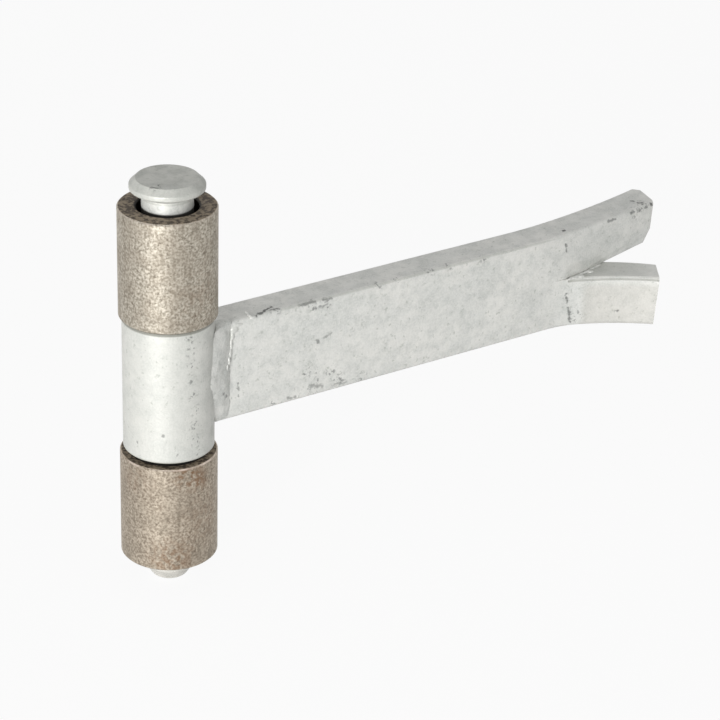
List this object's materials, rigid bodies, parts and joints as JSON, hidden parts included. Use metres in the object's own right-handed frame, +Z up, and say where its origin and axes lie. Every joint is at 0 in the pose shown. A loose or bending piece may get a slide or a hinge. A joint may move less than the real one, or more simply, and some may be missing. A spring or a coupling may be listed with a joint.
{
  "type": "weld-on hinge",
  "caption": "Weld-on hinge: stacked sleeves on a loose headed pin, the middle sleeve carrying a flat bar with a split and splayed end for setting in masonry.",
  "frame": {"origin": "centre of the lower sleeve's bottom end, on the pin's axis", "axes": "+Z up along the pin towards its head, +X along the flat bar towards its splayed end, -Y to the front"},
  "size_m": [0.185, 0.0327, 0.1208],
  "materials": {
    "raw_steel": "raw mill finish with light rust",
    "galvanised_steel": "hot-dip galvanised, dull"
  },
  "bodies": {
    "wall_anchor": {"middle_sleeve": "galvanised_steel", "anchor_bar": "galvanised_steel", "front_weld": "galvanised_steel", "back_weld": "galvanised_steel"},
    "upper_leaf": {"upper_sleeve": "raw_steel"},
    "lower_leaf": {"lower_sleeve": "raw_steel"},
    "pin": {"hinge_pin": "galvanised_steel"}
  },
  "joints": [
    {"name": "upper_turn", "type": "hinge", "parent": "wall_anchor", "child": "upper_leaf", "pos_m": [0, 0, 0.089], "axis": [0, 0, 1], "continuous": true},
    {"name": "lower_turn", "type": "hinge", "parent": "wall_anchor", "child": "lower_leaf", "pos_m": [0, 0, 0.016], "axis": [0, 0, 1], "continuous": true},
    {"name": "pin_lift", "type": "slide", "parent": "wall_anchor", "child": "pin", "axis": [0, 0, 1], "range_m": [-0.0041, 0.12]}
  ]
}
